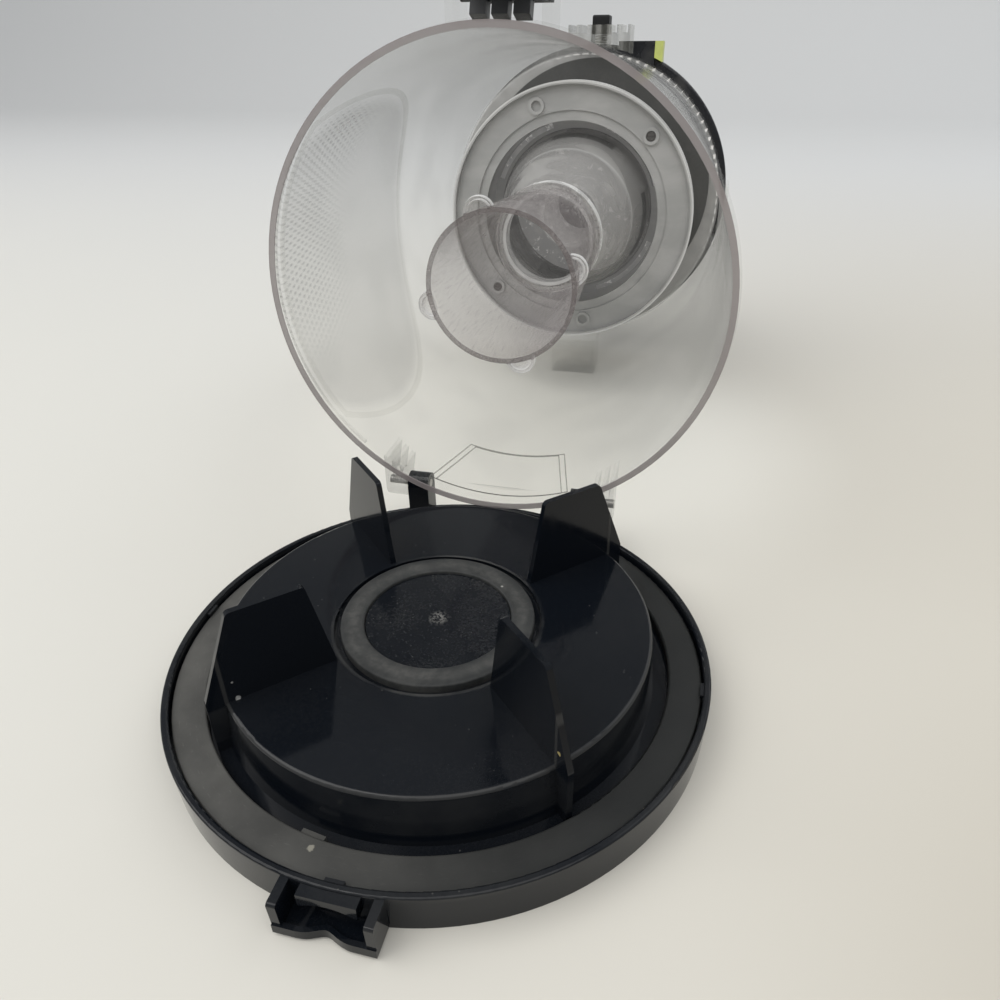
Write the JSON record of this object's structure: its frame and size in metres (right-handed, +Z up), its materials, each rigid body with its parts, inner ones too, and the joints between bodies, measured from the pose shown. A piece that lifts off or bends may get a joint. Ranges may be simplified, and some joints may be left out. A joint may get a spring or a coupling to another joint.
{
  "type": "cyclone dust bin",
  "caption": "Clear tapering cyclone dust bin lying open on its hinged black finned door, with a separator plate, dust tube and pleated end filter.",
  "frame": {"origin": "on the floor under the middle of the open bin's bounding box", "axes": "+Z up, +Y from the door's catch to the hinge and on along the lying tank, +X to the right seen from the catch"},
  "size_m": [0.2, 0.4782, 0.2403],
  "materials": {
    "black_moulding": "moulded gloss black plastic with dust and scuffs",
    "button_plastic": "black moulded plastic",
    "clear_plastic": "clear polycarbonate, slightly hazy",
    "dark_plastic": "dark grey moulded plastic",
    "filter_paper": "pleated off-white filter paper",
    "gasket_rubber": "dusty dark grey rubber",
    "lime_plastic": "lime moulded plastic",
    "pin_steel": "drawn steel pin",
    "screw_steel": "blackened steel screw",
    "seal_rubber": "soft black rubber",
    "smoke_plastic": "translucent grey plastic",
    "spring_steel": "spring wire"
  },
  "bodies": {
    "tank": {"tank_shell": "clear_plastic", "hinge_pins": "pin_steel", "latch_pin": "pin_steel", "button_spring": "spring_steel", "separator_base": "smoke_plastic", "separator_shroud": "dark_plastic", "separator_screws": "screw_steel", "ceiling_seal": "seal_rubber", "cyclone_cone": "smoke_plastic", "vortex_finder": "dark_plastic", "dust_tube": "clear_plastic", "filter_seal": "seal_rubber", "filter_base": "button_plastic", "filter_cage": "button_plastic", "filter_media": "filter_paper", "filter_cap": "button_plastic", "filter_grip": "lime_plastic"},
    "door": {"door_panel": "black_moulding", "door_gasket": "gasket_rubber", "centre_seal": "seal_rubber"},
    "latch": {"latch_lever": "button_plastic"},
    "button": {"rear_button": "button_plastic"}
  },
  "joints": [
    {"name": "door_hinge", "type": "hinge", "parent": "tank", "child": "door", "pos_m": [0, -0.03789, 0.02785], "axis": [1, 0, 0], "range_deg": [-92.54, 25]},
    {"name": "latch_pivot", "type": "hinge", "parent": "tank", "child": "latch", "pos_m": [0, -0.01997, 0.22535], "axis": [1, 0, 0], "range_deg": [0, 20]},
    {"name": "button_slide", "type": "slide", "parent": "tank", "child": "button", "axis": [0, -0.0443, -0.999], "range_m": [0, 0.003], "stiffness_N_per_m": 500, "deforming": ["button_spring"]}
  ]
}
